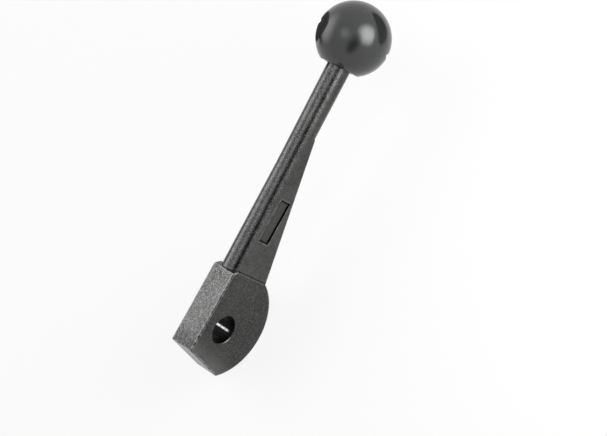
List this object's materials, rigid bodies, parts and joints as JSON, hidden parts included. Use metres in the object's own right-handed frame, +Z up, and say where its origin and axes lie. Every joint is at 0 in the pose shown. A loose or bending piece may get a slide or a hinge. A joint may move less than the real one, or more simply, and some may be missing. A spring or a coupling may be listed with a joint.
{
  "type": "eccentric lever",
  "caption": "Eccentric clamping lever: flat cam head with a pivot bore, round shank braced by a rib, ball knob on its end.",
  "frame": {"origin": "centre of the pivot bore, half way through the head", "axes": "+X from the bore toward the ball knob, +Y along the bore, +Z up toward the head's top flat"},
  "size_m": [0.1317, 0.025, 0.0406],
  "materials": {
    "forged_steel": "blackened, fine blasted grain",
    "knob_plastic": "moulded, semi-gloss black"
  },
  "bodies": {
    "root": {"lever": "forged_steel", "ball_knob": "knob_plastic"}
  },
  "joints": []
}
